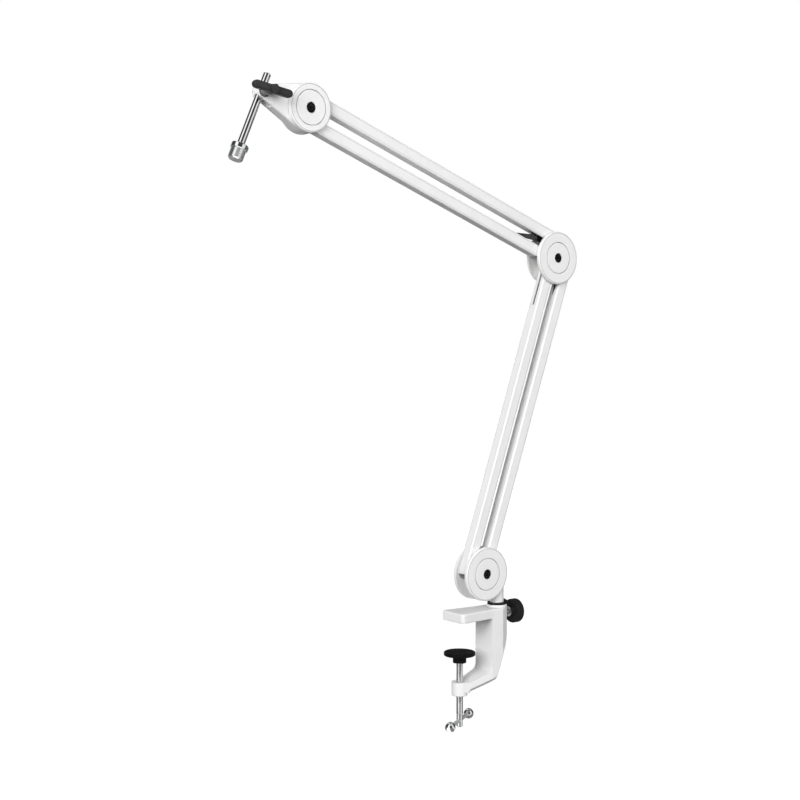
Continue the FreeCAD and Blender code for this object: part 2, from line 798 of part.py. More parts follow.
def head_outline(y_start, y_end):
    # two circles and the straight flanks that touch both
    swing = math.degrees(math.acos((head_disc_radius - nose_radius) / nose_reach))
    axis_angle = half_turn - nose_rise
    pairs = []
    for x, z, radius, sense in (
        (head_x, head_z, head_disc_radius, 1),
        (nose_x, nose_z, nose_radius, 1),
        (nose_x, nose_z, nose_radius, -1),
        (head_x, head_z, head_disc_radius, -1),
    ):
        angle = axis_angle + sense * swing
        pairs.append((x + radius * cosine(angle), z + radius * sine(angle)))
    flanks = side_prism(pairs, [0] * len(pairs), y_start, y_end)
    rounds = [pin_y(head_x, head_z, head_disc_radius, y_start, y_end)]
    rounds.append(pin_y(nose_x, nose_z, nose_radius, y_start, y_end))
    return flanks.fuse(rounds).removeSplitter()


def bar_pocket():
    # room for the bars' ends over their whole swing
    reach = bar_outer_reach + pocket_clearance
    far = 2 * head_disc_radius
    low_x = head_x - reach * sine(upper_rise_high)
    low_z = head_low_z - reach * cosine(upper_rise_high)
    top_x = head_x + reach * sine(upper_rise_low)
    top_z = head_top_z + reach * cosine(upper_rise_low)
    pairs = [
        (low_x, low_z),
        (low_x + far * cosine(upper_rise_high), low_z - far * sine(upper_rise_high)),
        (top_x + far * cosine(upper_rise_low), top_z - far * sine(upper_rise_low)),
        (top_x, top_z),
        (head_x - reach, head_top_z),
        (head_x - reach, head_low_z),
    ]
    pocket = side_prism(pairs, [0] * len(pairs), -half_gap - overrun, half_gap)
    for x, z in head_pins_at:
        pocket = pocket.fuse(pin_y(x, z, reach, -half_gap - overrun, half_gap))
    return pocket.removeSplitter()


def nose_place():
    # puts a piece drawn along X onto the bracket's axis, with the pivot at its origin
    return FreeCAD.Placement(Vector(nose_x, 0, nose_z), FreeCAD.Rotation(back, half_turn + nose_rise))


def head_bracket():
    casting = head_outline(-half_gap, half_gap)
    rims = [edge for edge in casting.Edges if edge.BoundBox.YLength < running_clearance]
    casting = casting.makeFillet(bracket_edge_round, rims)
    casting = casting.fuse(pin_y(head_x, head_z, head_disc_radius, -half_gap, half_gap))
    casting = casting.cut(bar_pocket())
    cheek = pin_y(head_x, head_z, head_disc_radius, half_gap, rear_face)
    rim = round_edges(cheek, rear_face, Vector(head_x, rear_face, head_z), back)
    cheek = cheek.makeFillet(disc_rim_round, rim)
    casting = casting.fuse(cheek).removeSplitter()
    tall = 2 * head_disc_radius
    mouth = nose_radius + overrun
    pairs = [(-fork_depth, -tall), (mouth, -tall), (mouth, tall), (-fork_depth, tall)]
    slot = side_prism(pairs, [0] * len(pairs), -fork_gap / 2, fork_gap / 2)
    casting = casting.cut(placed(slot, nose_place()))
    trunnion_hole = trunnion_radius + running_clearance
    casting = casting.cut(pin_y(nose_x, nose_z, trunnion_hole, -half_gap - overrun, half_gap + overrun))
    return drill_rear(casting, [(head_x, head_z)] + head_pins_at, rear_face)


def rod_place():
    # puts a piece drawn along Z onto the rod's axis, with the pivot at its origin
    return FreeCAD.Placement(Vector(nose_x, 0, nose_z), FreeCAD.Rotation(back, rod_lean))


def rod_barrel():
    half_length = fork_gap / 2 - barrel_play
    barrel = pin_y(0, 0, barrel_radius, -half_length, half_length)
    barrel = barrel.fuse(pin_y(0, 0, trunnion_radius, -half_gap, half_gap))
    barrel = barrel.cut(pin_z(0, 0, rod_radius + running_clearance, -nose_reach, nose_reach))
    barrel = barrel.cut(pin_y(0, 0, lever_stud_radius + running_clearance, -half_gap - overrun, 0))
    return placed(barrel, rod_place())


def mic_rod():
    low = -adapter_drop - adapter_rod_seat
    rod = pin_z(0, 0, rod_radius, low, rod_above)
    ends = [edge for edge in rod.Edges if len(edge.Vertexes) == 1]
    return placed(rod.makeChamfer(rod_end_chamfer, ends), rod_place())


def thread_adapter():
    flange_bottom = -adapter_drop - adapter_flange_height
    flange = pin_z(0, 0, adapter_flange_radius, flange_bottom, -adapter_drop)
    flange = flange.makeChamfer(adapter_flange_chamfer, [e for e in flange.Edges if len(e.Vertexes) == 1])
    low = flange_bottom - adapter_thread_length
    thread = pin_z(0, 0, adapter_thread_radius, low, flange_bottom)
    thread = thread.makeChamfer(adapter_thread_chamfer, round_edges(thread, low, Vector(0, 0, low), up))
    adapter = flange.fuse(thread)
    seat = -adapter_drop - adapter_rod_seat
    adapter = adapter.cut(pin_z(0, 0, rod_radius + running_clearance, seat - overrun, 0))
    return placed(adapter, rod_place())


def lever_place():
    return FreeCAD.Placement(Vector(nose_x, 0, nose_z), FreeCAD.Rotation(back, lever_turn))


def lever_back():
    return -half_gap - lever_standoff


def t_lever():
    front = lever_back() - lever_depth
    half_length = lever_length / 2
    half_height = lever_height / 2
    straight = half_length - half_height
    pairs = [(-straight, -half_height), (straight, -half_height)]
    pairs += [(straight, half_height), (-straight, half_height)]
    bar = side_prism(pairs, [0] * len(pairs), front, lever_back())
    for x in (-straight, straight):
        bar = bar.fuse(pin_y(x, 0, half_height, front, lever_back()))
    bar = bar.removeSplitter()
    rims = [edge for edge in bar.Edges if edge.BoundBox.YLength < running_clearance]
    bar = bar.makeFillet(lever_edge_round, rims)
    hub_end = -half_gap - lever_play - lever_washer_thickness
    bar = bar.fuse(pin_y(0, 0, lever_hub_radius, front + lever_edge_round, hub_end))
    bar = bar.fuse(pin_y(0, 0, lever_boss_radius, front - lever_boss_height, lever_back()))
    bar = bar.cut(pin_y(0, 0, lever_stud_radius + seat_clearance, lever_back() - lever_stud_seat, 0))
    return placed(bar.removeSplitter(), lever_place())


def lever_stud():
    tip = -rod_radius - body_clearance
    return placed(pin_y(0, 0, lever_stud_radius, lever_back() - lever_stud_seat, tip), lever_place())


def lever_washer():
    end = -half_gap - lever_play
    start = end - lever_washer_thickness
    washer = ring_y(0, 0, lever_washer_radius, lever_stud_radius + seat_clearance, start, end)
    return placed(washer, lever_place())


def elbow_rear_disc():
    disc = pin_y(elbow_x, elbow_z, disc_radius, half_gap, rear_face)
    rim = round_edges(disc, rear_face, Vector(elbow_x, rear_face, elbow_z), back)
    disc = disc.makeFillet(disc_rim_round, rim)
    return drill_rear(disc, elbow_pivots_at, rear_face)


def elbow_spacers():
    start = tongue_thickness / 2 + spacer_play
    end = bar_inner_depth / 2 - spacer_play
    hole = pivot_radius + seat_clearance
    front = ring_y(elbow_x, elbow_z, spacer_radius, hole, -end, -start)
    return Part.makeCompound([front, ring_y(elbow_x, elbow_z, spacer_radius, hole, start, end)])


nodes = {
    "clamp_frame": clamp_frame(),
    "swivel_bush": swivel_bush(),
    "pressure_pad": pressure_pad(),
    "clamp_screw": clamp_screw(),
    "tommy_bar": tommy_bar(),
    "tommy_balls": tommy_balls(),
    "thumb_knob": thumb_knob(),
    "thumb_collar": thumb_collar(),
    "thumb_stud": thumb_stud(),
    "swivel_post": swivel_post(),
    "base_knuckle": base_knuckle(),
    "base_disc": front_disc(base_x, base_z, disc_radius, base_pins_at),
    "base_cap": disc_cap(base_x, base_z),
    "base_bolt": joint_bolt(base_x, base_z, base_rear_face),
    "base_nut": joint_nut(base_x, base_z, base_rear_face),
    "base_pin": cross_pin(base_pin_x, base_z, base_rear_face),
    "base_washers": thrust_washers(base_pivots_at),
    "lower_outer_bar": lower_outer_bar(),
    "lower_inner_bar": lower_inner_bar(),
    "lower_spring": lower_spring(),
    "lower_spring_pins": lower_spring_pins(),
    "elbow_disc": front_disc(elbow_x, elbow_z, disc_radius, elbow_pins_at),
    "elbow_cap": disc_cap(elbow_x, elbow_z),
    "elbow_rear_disc": elbow_rear_disc(),
    "elbow_bolt": joint_bolt(elbow_x, elbow_z, rear_face),
    "elbow_nut": joint_nut(elbow_x, elbow_z, rear_face),
    "elbow_pins": Part.makeCompound([cross_pin(x, z, rear_face) for x, z in elbow_pins_at]),
    "elbow_washers": thrust_washers(elbow_pivots_at),
    "elbow_spacers": elbow_spacers(),
    "upper_inner_bar": upper_inner_bar(),
    "upper_tongue": upper_tongue(),
    "tongue_pins": tongue_pins(),
    "upper_spring": upper_spring(),
    "upper_spring_pins": upper_spring_pins(),
    "upper_outer_bar": upper_outer_bar(),
    "upper_link": upper_link(),
    "head_bracket": head_bracket(),
    "head_disc": front_disc(head_x, head_z, head_disc_radius, head_pins_at),
    "head_cap": disc_cap(head_x, head_z),
    "head_bolt": joint_bolt(head_x, head_z, rear_face),
    "head_nut": joint_nut(head_x, head_z, rear_face),
    "head_pins": Part.makeCompound([cross_pin(x, z, rear_face) for x, z in head_pins_at]),
    "head_washers": thrust_washers(head_pins_at),
    "rod_barrel": rod_barrel(),
    "mic_rod": mic_rod(),
    "thread_adapter": thread_adapter(),
    "t_lever": t_lever(),
    "lever_stud": lever_stud(),
    "lever_washer": lever_washer(),
}

os.makedirs("parts", exist_ok=True)
for name, shape in nodes.items():
    shape.exportStep("parts/" + name + ".step")
    print(name, len(shape.Solids), round(shape.Volume, 1), shape.isValid())
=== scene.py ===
import bpy
import bmesh
import json
import math
from mathutils import Matrix, Vector


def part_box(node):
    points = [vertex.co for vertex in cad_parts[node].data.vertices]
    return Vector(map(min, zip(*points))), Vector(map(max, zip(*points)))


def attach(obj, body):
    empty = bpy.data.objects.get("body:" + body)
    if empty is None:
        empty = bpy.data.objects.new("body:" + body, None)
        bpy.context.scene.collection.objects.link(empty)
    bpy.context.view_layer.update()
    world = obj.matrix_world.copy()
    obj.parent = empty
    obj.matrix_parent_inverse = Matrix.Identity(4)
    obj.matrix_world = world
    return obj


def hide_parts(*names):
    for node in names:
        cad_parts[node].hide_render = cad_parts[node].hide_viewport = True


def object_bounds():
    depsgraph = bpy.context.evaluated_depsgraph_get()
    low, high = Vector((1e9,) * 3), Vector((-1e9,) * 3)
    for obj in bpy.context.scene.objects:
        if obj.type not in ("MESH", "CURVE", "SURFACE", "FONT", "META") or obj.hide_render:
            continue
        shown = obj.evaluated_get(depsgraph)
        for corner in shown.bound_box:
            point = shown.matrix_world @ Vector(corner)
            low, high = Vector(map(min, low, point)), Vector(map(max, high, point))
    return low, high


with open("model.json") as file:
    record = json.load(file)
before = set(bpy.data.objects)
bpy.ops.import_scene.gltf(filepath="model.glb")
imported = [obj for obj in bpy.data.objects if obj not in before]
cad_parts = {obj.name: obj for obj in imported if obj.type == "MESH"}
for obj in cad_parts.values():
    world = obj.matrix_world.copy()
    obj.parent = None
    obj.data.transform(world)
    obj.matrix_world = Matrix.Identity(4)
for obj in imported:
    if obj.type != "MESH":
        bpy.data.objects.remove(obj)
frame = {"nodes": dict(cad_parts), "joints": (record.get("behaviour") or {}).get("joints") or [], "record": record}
cadLow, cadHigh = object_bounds()
nodes = frame["nodes"]
joints = {joint["name"]: joint for joint in frame["joints"]}
mm = 0.001
print("frame loaded:", len(nodes), "nodes")


# small helpers for shader trees

def newGroup(name, inputs, outputs):
    group = bpy.data.node_groups.new(name, "ShaderNodeTree")
    for label, kind, value in inputs:
        socket = group.interface.new_socket(name=label, in_out="INPUT", socket_type=kind)
        socket.default_value = value
    for label, kind in outputs:
        group.interface.new_socket(name=label, in_out="OUTPUT", socket_type=kind)
    return group, group.nodes.new("NodeGroupInput"), group.nodes.new("NodeGroupOutput")


def plug(tree, value, socket):
    # a number or colour is set on the socket, anything else is linked to it
    if isinstance(value, bpy.types.NodeSocket):
        tree.links.new(value, socket)
    else:
        socket.default_value = value


def noise(tree, vector, scale, detail=3.0):
    node = tree.nodes.new("ShaderNodeTexNoise")
    plug(tree, vector, node.inputs["Vector"])
    plug(tree, scale, node.inputs["Scale"])
    node.inputs["Detail"].default_value = detail
    return node.outputs["Fac"]


def calc(tree, kind, *values):
    node = tree.nodes.new("ShaderNodeMath")
    node.operation = kind
    for value, socket in zip(values, node.inputs):
        plug(tree, value, socket)
    return node.outputs[0]


def vectorMath(tree, kind, *values):
    node = tree.nodes.new("ShaderNodeVectorMath")
    node.operation = kind
    for value, socket in zip(values, node.inputs):
        plug(tree, value, socket)
    return node.outputs["Value" if kind in ("DOT_PRODUCT", "LENGTH") else "Vector"]


def between(tree, value, low, high, start=0.35, end=0.65):
    # carries a value from start..end to low..high
    node = tree.nodes.new("ShaderNodeMapRange")
    plug(tree, value, node.inputs["Value"])
    for label, number in (("From Min", start), ("From Max", end)):
        node.inputs[label].default_value = number
    plug(tree, low, node.inputs["To Min"])
    plug(tree, high, node.inputs["To Max"])
    return node.outputs["Result"]


def blendColour(tree, factor, first, second):
    node = tree.nodes.new("ShaderNodeMix")
    node.data_type = "RGBA"
    plug(tree, factor, node.inputs[0])
    plug(tree, first, node.inputs[6])
    plug(tree, second, node.inputs[7])
    return node.outputs[2]


def bumped(tree, height, strength, distance, normal=None):
    node = tree.nodes.new("ShaderNodeBump")
    node.inputs["Strength"].default_value = strength
    node.inputs["Distance"].default_value = distance
    plug(tree, height, node.inputs["Height"])
    if normal is not None:
        plug(tree, normal, node.inputs["Normal"])
    return node.outputs["Normal"]


def makeGrainGroup():
    # fine grain for bump, cloudy mottle for colour and gloss
    inputs = [("Grain Scale", "NodeSocketFloat", 900.0), ("Mottle Scale", "NodeSocketFloat", 30.0)]
    outputs = [("Height", "NodeSocketFloat"), ("Mottle", "NodeSocketFloat")]
    group, start, end = newGroup("fineGrain", inputs, outputs)
    place = group.nodes.new("ShaderNodeTexCoord").outputs["Object"]
    fine = noise(group, place, start.outputs["Grain Scale"], detail=2.0)
    cloudy = noise(group, place, start.outputs["Mottle Scale"], detail=4.0)
    group.links.new(fine, end.inputs["Height"])
    group.links.new(cloudy, end.inputs["Mottle"])
    return group


edgeMark = {"samples": 6, "sharp": 0.80, "flat": 0.99}


def makeEdgeGroup(mark):
    # rounds the look of sharp edges, and marks where the rounded normal leaves the true one
    inputs = [("Radius", "NodeSocketFloat", 0.8 * mm)]
    outputs = [("Normal", "NodeSocketVector"), ("Edge", "NodeSocketFloat")]
    group, start, end = newGroup("softEdge", inputs, outputs)
    bevel = group.nodes.new("ShaderNodeBevel")
    bevel.samples = mark["samples"]
    group.links.new(start.outputs["Radius"], bevel.inputs["Radius"])
    surface = group.nodes.new("ShaderNodeNewGeometry").outputs["Normal"]
    agree = vectorMath(group, "DOT_PRODUCT", bevel.outputs["Normal"], surface)
    edge = between(group, agree, 1.0, 0.0, mark["sharp"], mark["flat"])
    group.links.new(bevel.outputs["Normal"], end.inputs["Normal"])
    group.links.new(edge, end.inputs["Edge"])
    return group


def makeScratchGroup():
    # long thin streaks, stretched along one axis of the piece
    inputs = [("Turn", "NodeSocketVector", (0.0, 0.0, 0.0)),
              ("Stretch", "NodeSocketVector", (600.0, 600.0, 12.0))]
    outputs = [("Streak", "NodeSocketFloat")]
    group, start, end = newGroup("fineStreaks", inputs, outputs)
    mapping = group.nodes.new("ShaderNodeMapping")
    group.links.new(group.nodes.new("ShaderNodeTexCoord").outputs["Object"], mapping.inputs["Vector"])
    group.links.new(start.outputs["Turn"], mapping.inputs["Rotation"])
    group.links.new(start.outputs["Stretch"], mapping.inputs["Scale"])
    group.links.new(noise(group, mapping.outputs["Vector"], 1.0), end.inputs["Streak"])
    return group


# each bar's middle lies midOffset outside its pivot
barSection = {"midOffset": 2.7 * mm, "innerHalf": 5.5 * mm, "linePlace": 4.6 * mm, "lineHalf": 0.5 * mm}


def makeSectionGroup(sizes):
    # for a bar square to Across, whose middle lies at Offset along it: marks the inside walls,
    # and the thin lines where its faces turn into the round corners, both for painted shade
    inputs = [("Across", "NodeSocketVector", (1.0, 0.0, 0.0)), ("Offset", "NodeSocketFloat", 0.0),
              ("Inner Half", "NodeSocketFloat", sizes["innerHalf"]),
              ("Line Place", "NodeSocketFloat", sizes["linePlace"]),
              ("Line Half", "NodeSocketFloat", sizes["lineHalf"])]
    outputs = [("Inside", "NodeSocketFloat"), ("Line", "NodeSocketFloat")]
    group, start, end = newGroup("barSection", inputs, outputs)
    place = group.nodes.new("ShaderNodeTexCoord").outputs["Object"]
    split = group.nodes.new("ShaderNodeSeparateXYZ")
    group.links.new(place, split.inputs[0])
    along = vectorMath(group, "DOT_PRODUCT", place, start.outputs["Across"])
    sideways = calc(group, "ABSOLUTE", calc(group, "SUBTRACT", along, start.outputs["Offset"]))
    deep = calc(group, "ABSOLUTE", split.outputs["Y"])
    farther = calc(group, "MAXIMUM", sideways, deep)
    group.links.new(calc(group, "LESS_THAN", farther, start.outputs["Inner Half"]), end.inputs["Inside"])
    nearer = calc(group, "MINIMUM", sideways, deep)
    miss = calc(group, "ABSOLUTE", calc(group, "SUBTRACT", nearer, start.outputs["Line Place"]))
    line = calc(group, "SUBTRACT", 1.0, calc(group, "DIVIDE", miss, start.outputs["Line Half"]))
    group.links.new(calc(group, "MAXIMUM", line, 0.0), end.inputs["Line"])
    return group


def makeRimGroup():
    # mask for a thin ring of painted shade on the face of a disc that turns about Y
    inputs = [("Centre", "NodeSocketVector", (0.0, 0.0, 0.0)), ("Ring", "NodeSocketFloat", 30.0 * mm),
              ("Half Width", "NodeSocketFloat", 0.6 * mm)]
    outputs = [("Line", "NodeSocketFloat")]
    group, start, end = newGroup("rimShadeLine", inputs, outputs)
    place = group.nodes.new("ShaderNodeTexCoord").outputs["Object"]
    aside = vectorMath(group, "SUBTRACT", place, start.outputs["Centre"])
    away = vectorMath(group, "LENGTH", vectorMath(group, "MULTIPLY", aside, (1.0, 0.0, 1.0)))
    miss = calc(group, "ABSOLUTE", calc(group, "SUBTRACT", away, start.outputs["Ring"]))
    line = calc(group, "SUBTRACT", 1.0, calc(group, "DIVIDE", miss, start.outputs["Half Width"]))
    group.links.new(calc(group, "MAXIMUM", line, 0.0), end.inputs["Line"])
    return group


grainGroup = makeGrainGroup()
rimShadeGroup = makeRimGroup()
sectionGroup = makeSectionGroup(barSection)
edgeGroup = makeEdgeGroup(edgeMark)
scratchGroup = makeScratchGroup()


def useGroup(tree, group, **values):
    node = tree.nodes.new("ShaderNodeGroup")
    node.node_tree = group
    for label, value in values.items():
        plug(tree, value, node.inputs[label.replace("_", " ")])
    return node.outputs


def newMaterial(name):
    material = bpy.data.materials.new(name)
    material.use_nodes = True
    return material, material.node_tree, material.node_tree.nodes["Principled BSDF"]


def useGrain(tree, look):
    return useGroup(tree, grainGroup, Grain_Scale=look["grainScale"], Mottle_Scale=look["mottleScale"])


def mottled(tree, look, grain):
    share = between(tree, grain["Mottle"], 0.0, look["mottleShare"])
    return blendColour(tree, share, look["colour"], look["shade"])


def grained(tree, look, grain, normal=None):
    return bumped(tree, grain["Height"], look["bump"], look["bumpDepth"], normal)


whitePaintLook = {
    "colour": (0.86, 0.86, 0.855, 1),
    "shade": (0.815, 0.815, 0.81, 1),
    # edge: painted shade, the grey that sharp edges and the bars' corner lines are darkened towards
    "edge": (0.62, 0.62, 0.62, 1),
    "edgeShadeShare": 0.5,
    "edgeRadius": 0.7 * mm,
    "rimInset": 1.5 * mm,
    # painted shade: the dark ring just inside each disc's rim
    "rimShadeColour": (0.36, 0.36, 0.36, 1),
    # painted shade for the bars' inside walls: near black in the upper bars, grey in the lower ones
    "insideShade": (0.022, 0.022, 0.022, 1),
    "insideShadeLower": (0.30, 0.30, 0.30, 1),
    "gloss": (0.36, 0.48),
    "specular": 0.4,
    "grainScale": 1500.0,
    "mottleScale": 22.0,
    "mottleShare": 0.6,
    "bump": 0.06,
    "bumpDepth": 0.15 * mm,
}
# the clamp's edges look rounder and carry a fainter painted shade
castLook = whitePaintLook | {"edgeRadius": 1.6 * mm, "edgeShadeShare": 0.25}


def startPaint(look, name):
    material, tree, shader = newMaterial(name)
    grain = useGrain(tree, look)
    plug(tree, between(tree, grain["Mottle"], *look["gloss"]), shader.inputs["Roughness"])
    shader.inputs["Specular IOR Level"].default_value = look["specular"]
    return material, tree, shader, grain, mottled(tree, look, grain)


def makeWhitePaint(look, name, centre=None, ring=0.0):
    material, tree, shader, grain, body = startPaint(look, name)
    soft = useGroup(tree, edgeGroup, Radius=look["edgeRadius"])
    # painted shade: sharp edges are darkened towards the edge colour
    edgeShadeAndWear = calc(tree, "MULTIPLY", soft["Edge"], look["edgeShadeShare"])
    colour = blendColour(tree, edgeShadeAndWear, body, look["edge"])
    if centre is not None:
        # painted shade: a dark ring where the face turns over into the rim
        rim = useGroup(tree, rimShadeGroup, Centre=centre, Ring=ring)
        colour = blendColour(tree, rim["Line"], colour, look["rimShadeColour"])
    plug(tree, colour, shader.inputs["Base Color"])
    plug(tree, grained(tree, look, grain, soft["Normal"]), shader.inputs["Normal"])
    return material


def makeBarPaint(look, name, across, offset, insideShade):
    # painted shade: dark lines along the corners, and the inside walls in a shade colour
    material, tree, shader, grain, body = startPaint(look, name)
    section = useGroup(tree, sectionGroup, Across=across, Offset=offset)
    colour = blendColour(tree, section["Line"], body, look["edge"])
    plug(tree, blendColour(tree, section["Inside"], colour, insideShade), shader.inputs["Base Color"])
    plug(tree, grained(tree, look, grain), shader.inputs["Normal"])
    return material


blackPlasticLook = {
    "colour": (0.008, 0.008, 0.0085, 1),
    "shade": (0.014, 0.014, 0.0145, 1),
    "edge": (0.03, 0.03, 0.031, 1),
    "edgeRadius": 0.5 * mm,
    "gloss": (0.36, 0.52),
    "specular": 0.2,
    "grainScale": 2200.0,
    "mottleScale": 60.0,
    "mottleShare": 1.0,
    "bump": 0.22,
    "bumpDepth": 0.2 * mm,
}
blackRubberLook = blackPlasticLook | {
    "colour": (0.004, 0.004, 0.0042, 1),
    "shade": (0.007, 0.007, 0.0072, 1),
    "edge": (0.012, 0.012, 0.012, 1),
    "gloss": (0.55, 0.7),
    "specular": 0.1,
}
leverLook = blackPlasticLook | {
    "colour": (0.024, 0.024, 0.025, 1),
    "shade": (0.034, 0.034, 0.035, 1),
    "edge": (0.05, 0.05, 0.051, 1),
    "gloss": (0.42, 0.56),
    "specular": 0.25,
    "patchColour": (0.30, 0.30, 0.30, 1),
    "hubLength": 9.4 * mm,
}
bushLook = blackPlasticLook | {"patchColour": (0.8, 0.8, 0.795, 1), "drop": 0.3 * mm}


def makeBlackPlastic(look, name, towards=None, start=0.0):
    # with towards, what lies past start in that direction is in the patch colour
    material, tree, shader = newMaterial(name)
    grain = useGrain(tree, look)
    soft = useGroup(tree, edgeGroup, Radius=look["edgeRadius"])
    # lighter edges in patches, as rubbed wear
    edgeShadeAndWear = calc(tree, "MULTIPLY", soft["Edge"], grain["Mottle"])
    colour = blendColour(tree, edgeShadeAndWear, mottled(tree, look, grain), look["edge"])
    if towards is not None:
        place = tree.nodes.new("ShaderNodeTexCoord").outputs["Object"]
        past = calc(tree, "GREATER_THAN", vectorMath(tree, "DOT_PRODUCT", place, towards), start)
        colour = blendColour(tree, past, colour, look["patchColour"])
    plug(tree, colour, shader.inputs["Base Color"])
    plug(tree, between(tree, grain["Height"], *look["gloss"]), shader.inputs["Roughness"])
    plug(tree, grained(tree, look, grain, soft["Normal"]), shader.inputs["Normal"])
    shader.inputs["Specular IOR Level"].default_value = look["specular"]
    return material


blackBoltLook = {
    "colour": (0.009, 0.009, 0.0095, 1),
    "shade": (0.024, 0.0235, 0.023, 1),
    # edge: painted highlight, a lighter colour on the edges so they catch a glint
    "edge": (0.22, 0.22, 0.22, 1),
    "edgeRadius": 0.35 * mm,
    "gloss": (0.2, 0.34),
    "grainScale": 1800.0,
    "mottleScale": 140.0,
    "mottleShare": 0.6,
    "bump": 0.1,
    "bumpDepth": 0.1 * mm,
}
linkLook = blackBoltLook | {"colour": (0.05, 0.05, 0.052, 1), "shade": (0.11, 0.108, 0.105, 1)}


def makeBlackBolt(look, name):
    material, tree, shader = newMaterial(name)
    grain = useGrain(tree, look)
    soft = useGroup(tree, edgeGroup, Radius=look["edgeRadius"])
    # painted highlight: the edges are lighter than the body
    colour = blendColour(tree, soft["Edge"], mottled(tree, look, grain), look["edge"])
    plug(tree, colour, shader.inputs["Base Color"])
    plug(tree, between(tree, grain["Height"], *look["gloss"]), shader.inputs["Roughness"])
    plug(tree, grained(tree, look, grain, soft["Normal"]), shader.inputs["Normal"])
    shader.inputs["Metallic"].default_value = 1.0
    return material


chromeLook = {
    "colour": (0.82, 0.825, 0.83, 1),
    "shade": (0.70, 0.705, 0.71, 1),
    "gloss": (0.07, 0.13),
    "dullShare": 0.6,
    "metal": 1.0,
    "stretch": (60.0, 60.0, 900.0),
}
rodLook = chromeLook | {"stretch": (900.0, 900.0, 20.0)}
steelLook = chromeLook | {
    "colour": (0.46, 0.46, 0.47, 1),
    "shade": (0.33, 0.33, 0.34, 1),
    "gloss": (0.24, 0.38),
    "stretch": (400.0, 60.0, 400.0),
}
# satin nickel takes some of the lamps' light, so it stays pale where its reflections are dark
nickelLook = chromeLook | {"gloss": (0.2, 0.3), "metal": 0.45, "stretch": (60.0, 900.0, 60.0)}
endLook = chromeLook | {
    "colour": (0.42, 0.42, 0.425, 1),
    "shade": (0.34, 0.34, 0.345, 1),
    "gloss": (0.4, 0.5),
    "stretch": (300.0, 300.0, 300.0),
}


def makeChrome(look, name, turn=(0, 0, 0)):
    material, tree, shader = newMaterial(name)
    streaks = useGroup(tree, scratchGroup, Turn=turn, Stretch=look["stretch"])
    dull = between(tree, streaks["Streak"], 0.0, look["dullShare"])
    plug(tree, blendColour(tree, dull, look["colour"], look["shade"]), shader.inputs["Base Color"])
    plug(tree, between(tree, streaks["Streak"], *look["gloss"]), shader.inputs["Roughness"])
    shader.inputs["Metallic"].default_value = look["metal"]
    return material


nylonLook = {
    "colour": (0.72, 0.71, 0.67, 1),
    "shade": (0.62, 0.61, 0.56, 1),
    "gloss": (0.45, 0.6),
    "grainScale": 1200.0,
    "mottleScale": 90.0,
    "mottleShare": 1.0,
    "bump": 0.1,
    "bumpDepth": 0.1 * mm,
}


def makeNylon(look):
    material, tree, shader = newMaterial("nylon")
    grain = useGrain(tree, look)
    plug(tree, mottled(tree, look, grain), shader.inputs["Base Color"])
    plug(tree, between(tree, grain["Height"], *look["gloss"]), shader.inputs["Roughness"])
    plug(tree, grained(tree, look, grain), shader.inputs["Normal"])
    return material


rodAxis = Vector(joints["rod_slide"]["axis"]).normalized()
rodTurn = rodAxis.to_track_quat("Z", "Y").inverted().to_euler()


def barAcross(start, end, side):
    # direction square to a bar in the XZ plane, towards its outer side
    line = Vector(joints[end]["pos_m"]) - Vector(joints[start]["pos_m"])
    return Vector((line.z, 0, -line.x)).normalized() * side


barPaints = {}
for barName, start, end, pivot, side in (
    ("lower_outer_bar", "lower_arm", "elbow_hinge", "lower_arm", 1),
    ("lower_inner_bar", "lower_arm", "elbow_hinge", "lower_inner_hinge", -1),
    ("upper_inner_bar", "upper_arm", "head_hinge", "upper_arm", -1),
    ("upper_outer_bar", "upper_arm", "head_hinge", "upper_outer_hinge", 1),
):
    across = barAcross(start, end, side)
    offset = across.dot(Vector(joints[pivot]["pos_m"])) + barSection["midOffset"]
    # the inside walls get painted shade, lighter in the lower bars
    insideShade = whitePaintLook["insideShadeLower" if start == "lower_arm" else "insideShade"]
    barPaints[barName] = makeBarPaint(whitePaintLook, barName + "Paint", tuple(across), offset, insideShade)
discPaints = {}
for discName in ("base_disc", "elbow_disc", "head_disc"):
    low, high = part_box(discName)
    ring = (high.x - low.x) / 2 - whitePaintLook["rimInset"]
    discPaints[discName] = makeWhitePaint(whitePaintLook, discName + "Paint", tuple((low + high) / 2), ring)
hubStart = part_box("t_lever")[1].y - leverLook["hubLength"]
# below its flange the bush shows through the clamp's back, so it has the clamp's colour there
bushStart = bushLook["drop"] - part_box("clamp_frame")[1].z
turnedChrome = makeChrome(chromeLook, "turnedChrome")
rodChrome = makeChrome(rodLook, "rodChrome", tuple(rodTurn))
adapterEnd = makeChrome(endLook, "adapterEnd")

finishes = {
    "white_paint": makeWhitePaint(whitePaintLook, "whitePaint"),
    "black_plastic": makeBlackPlastic(blackPlasticLook, "blackPlastic"),
    "black_steel": makeBlackBolt(blackBoltLook, "blackBolt"),
    "chrome": turnedChrome,
    "steel": makeChrome(steelLook, "plainSteel"),
    "nylon": makeNylon(nylonLook),
}
# pieces with a finish of their own
ownFinishes = barPaints | discPaints | {
    "clamp_frame": makeWhitePaint(castLook, "castPaint"),
    "mic_rod": rodChrome,
    "tommy_bar": makeChrome(nickelLook, "satinNickel"),
    "upper_link": makeBlackBolt(linkLook, "linkSteel"),
    "pressure_pad": makeBlackPlastic(blackRubberLook, "blackRubber"),
    "t_lever": makeBlackPlastic(leverLook, "leverPlastic", (0, 1, 0), hubStart),
    "swivel_bush": makeBlackPlastic(bushLook, "bushPlastic", (0, 0, -1), bushStart),
}
for entry in frame["record"]["subparts"]:
    mesh = nodes[entry["node"]].data
    mesh.materials.clear()
    mesh.materials.append(ownFinishes.get(entry["node"], finishes[entry["material_slot"]]))
print("finishes set:", len(finishes), "shared,", len(ownFinishes), "of single pieces")


# new pieces

pieceFinish = {"mergeWithin": 0.002 * mm, "sharpAngle": 32}


